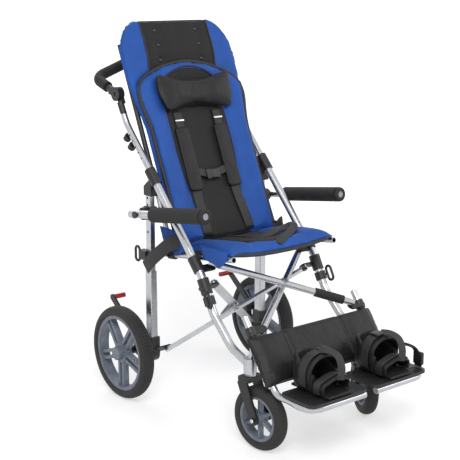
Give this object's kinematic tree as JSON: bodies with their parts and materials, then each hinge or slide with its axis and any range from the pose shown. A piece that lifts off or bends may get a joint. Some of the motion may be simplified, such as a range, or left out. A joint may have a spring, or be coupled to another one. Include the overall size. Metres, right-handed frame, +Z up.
{
  "type": "special needs buggy",
  "caption": "Folding push buggy for a larger child: tube side frames on X braces, sling seat and padded back, armrests, footrest with shoe holders.",
  "frame": {"origin": "centre of the part's box, on the floor", "axes": "+X across to the passenger's left, -Y forwards, +Z up"},
  "size_m": [0.642, 1.0528, 1.1852],
  "materials": {
    "silver_tube": "bright anodised",
    "black_plastic": "moulded, matt",
    "black_foam": "fine foam skin",
    "tyre": "matt tread",
    "rim_plastic": "blue-grey, satin",
    "grey_plastic": "satin",
    "red_plastic": "satin",
    "black_cloth": "woven nylon, padded",
    "blue_cloth": "woven nylon, padded"
  },
  "bodies": {
    "right_side": {"main_tube_right": "silver_tube", "rear_leg_right": "silver_tube", "axle_bracket_right": "black_plastic", "frame_brackets_right": "black_plastic", "seat_rail_right": "silver_tube", "back_cane_right": "silver_tube", "foot_post_right": "silver_tube", "tie_down_rings_right": "black_plastic", "seat_cushion": "blue_cloth", "back_liner": "blue_cloth", "back_cloth": "blue_cloth", "head_support": "black_cloth", "harness": "black_cloth", "calf_panel": "black_cloth"},
    "left_side": {"main_tube_left": "silver_tube", "rear_leg_left": "silver_tube", "axle_bracket_left": "black_plastic", "frame_brackets_left": "black_plastic", "seat_rail_left": "silver_tube", "back_cane_left": "silver_tube", "foot_post_left": "silver_tube", "tie_down_rings_left": "black_plastic"},
    "rear_cross_a": {"rear_cross_a": "silver_tube"},
    "rear_cross_b": {"rear_cross_b": "silver_tube"},
    "front_cross_a": {"front_cross_a": "silver_tube", "front_sleeve": "black_foam"},
    "front_cross_b": {"front_cross_b": "silver_tube"},
    "fold_lever": {"fold_lever": "grey_plastic"},
    "wheel_right": {"rear_tyre_right": "tyre", "rear_rim_right": "rim_plastic"},
    "castor_right": {"castor_fork_right": "black_plastic"},
    "castor_wheel_right": {"castor_tyre_right": "tyre", "castor_rim_right": "rim_plastic"},
    "arm_right": {"arm_tube_right": "silver_tube", "arm_pad_right": "black_foam"},
    "handle_post_right": {"handle_tube_right": "silver_tube", "handle_knobs_right": "black_plastic"},
    "handle_right": {"handle_bar_right": "silver_tube", "handle_grip_right": "black_foam"},
    "brake_right": {"brake_lever_right": "black_plastic", "brake_peg_right": "red_plastic"},
    "foot_right": {"foot_tube_right": "silver_tube", "foot_plate_right": "black_plastic", "shoe_holder_right": "black_cloth"},
    "wheel_left": {"rear_tyre_left": "tyre", "rear_rim_left": "rim_plastic"},
    "castor_left": {"castor_fork_left": "black_plastic"},
    "castor_wheel_left": {"castor_tyre_left": "tyre", "castor_rim_left": "rim_plastic"},
    "arm_left": {"arm_tube_left": "silver_tube", "arm_pad_left": "black_foam"},
    "handle_post_left": {"handle_tube_left": "silver_tube", "handle_knobs_left": "black_plastic"},
    "handle_left": {"handle_bar_left": "silver_tube", "handle_grip_left": "black_foam"},
    "brake_left": {"brake_lever_left": "black_plastic", "brake_peg_left": "red_plastic"},
    "foot_left": {"foot_tube_left": "silver_tube", "foot_plate_left": "black_plastic", "shoe_holder_left": "black_cloth"}
  },
  "joints": [
    {"name": "fold", "type": "hinge", "parent": "right_side", "child": "rear_cross_a", "pos_m": [-0.178, -0.0463, 0.421], "axis": [0, 0.7253, 0.6885], "range_deg": [0, 24.69], "deforming": ["seat_cushion", "back_liner", "back_cloth", "head_support", "harness", "calf_panel"]},
    {"name": "rear_cross_turn", "type": "hinge", "parent": "rear_cross_a", "child": "rear_cross_b", "pos_m": [0, 0.0752, 0.293], "axis": [0, 0.7253, 0.6885], "range_deg": [-49.4, 0]},
    {"name": "left_side_turn", "type": "hinge", "parent": "rear_cross_b", "child": "left_side", "pos_m": [0.178, -0.0463, 0.421], "axis": [0, 0.7253, 0.6885], "range_deg": [0, 24.7]},
    {"name": "front_cross_turn", "type": "hinge", "parent": "right_side", "child": "front_cross_a", "pos_m": [-0.178, -0.0303, 0.474], "axis": [0, 0.4985, -0.8669], "range_deg": [0, 29.73]},
    {"name": "front_cross_close", "type": "hinge", "parent": "front_cross_a", "child": "front_cross_b", "pos_m": [0, -0.1468, 0.407], "axis": [0, 0.4985, -0.8669], "range_deg": [-59.46, 0]},
    {"name": "foot_lift_right", "type": "hinge", "parent": "right_side", "child": "foot_right", "pos_m": [-0.218, -0.4123, 0.18], "axis": [0, -1, 0], "range_deg": [0, 90.02]},
    {"name": "foot_lift_left", "type": "hinge", "parent": "left_side", "child": "foot_left", "pos_m": [0.218, -0.4123, 0.18], "axis": [0, 1, 0], "range_deg": [0, 90.02]},
    {"name": "fold_lever_swing", "type": "hinge", "parent": "rear_cross_a", "child": "fold_lever", "pos_m": [0, 0.0752, 0.293], "axis": [0, 0.7253, 0.6885], "range_deg": [-40, 40]},
    {"name": "wheel_spin_right", "type": "hinge", "parent": "right_side", "child": "wheel_right", "pos_m": [-0.292, 0.2817, 0.15], "axis": [1, 0, 0], "continuous": true},
    {"name": "castor_swivel_right", "type": "hinge", "parent": "right_side", "child": "castor_right", "pos_m": [-0.225, -0.2633, 0.2], "axis": [0, 0, 1], "continuous": true},
    {"name": "castor_spin_right", "type": "hinge", "parent": "castor_right", "child": "castor_wheel_right", "pos_m": [-0.22061, -0.30507, 0.095], "axis": [0.9945, 0.1045, 0], "continuous": true},
    {"name": "arm_lift_right", "type": "hinge", "parent": "right_side", "child": "arm_right", "pos_m": [-0.268, 0.2157, 0.605], "axis": [-1, 0, 0], "range_deg": [0, 85]},
    {"name": "handle_slide_right", "type": "slide", "parent": "right_side", "child": "handle_post_right", "axis": [0, 0.6745, 0.7383], "range_m": [-0.06, 0.02]},
    {"name": "handle_tilt_right", "type": "hinge", "parent": "handle_post_right", "child": "handle_right", "pos_m": [-0.225, 0.3813, 0.95761], "axis": [1, 0, 0], "range_deg": [-75, 0]},
    {"name": "brake_press_right", "type": "hinge", "parent": "right_side", "child": "brake_right", "pos_m": [-0.247, 0.2817, 0.198], "axis": [-1, 0, 0], "range_deg": [0, 25]},
    {"name": "wheel_spin_left", "type": "hinge", "parent": "left_side", "child": "wheel_left", "pos_m": [0.292, 0.2817, 0.15], "axis": [1, 0, 0], "continuous": true},
    {"name": "castor_swivel_left", "type": "hinge", "parent": "left_side", "child": "castor_left", "pos_m": [0.225, -0.2633, 0.2], "axis": [0, 0, 1], "continuous": true},
    {"name": "castor_spin_left", "type": "hinge", "parent": "castor_left", "child": "castor_wheel_left", "pos_m": [0.20528, -0.30039, 0.095], "axis": [0.8829, -0.4695, 0], "continuous": true},
    {"name": "arm_lift_left", "type": "hinge", "parent": "left_side", "child": "arm_left", "pos_m": [0.268, 0.2157, 0.605], "axis": [-1, 0, 0], "range_deg": [0, 85]},
    {"name": "handle_slide_left", "type": "slide", "parent": "left_side", "child": "handle_post_left", "axis": [0, 0.6745, 0.7383], "range_m": [-0.06, 0.02]},
    {"name": "handle_tilt_left", "type": "hinge", "parent": "handle_post_left", "child": "handle_left", "pos_m": [0.225, 0.3813, 0.95761], "axis": [1, 0, 0], "range_deg": [-75, 0]},
    {"name": "brake_press_left", "type": "hinge", "parent": "left_side", "child": "brake_left", "pos_m": [0.247, 0.2817, 0.198], "axis": [-1, 0, 0], "range_deg": [0, 25]}
  ],
  "couplings": [
    {"joint": "rear_cross_turn", "follows": "fold", "ratio": -2},
    {"joint": "left_side_turn", "follows": "fold", "ratio": 1},
    {"joint": "front_cross_turn", "follows": "fold", "ratio": 1.2032},
    {"joint": "front_cross_close", "follows": "fold", "ratio": -2.4063},
    {"joint": "foot_lift_right", "follows": "fold", "ratio": 3.6449},
    {"joint": "foot_lift_left", "follows": "fold", "ratio": 3.6449}
  ]
}
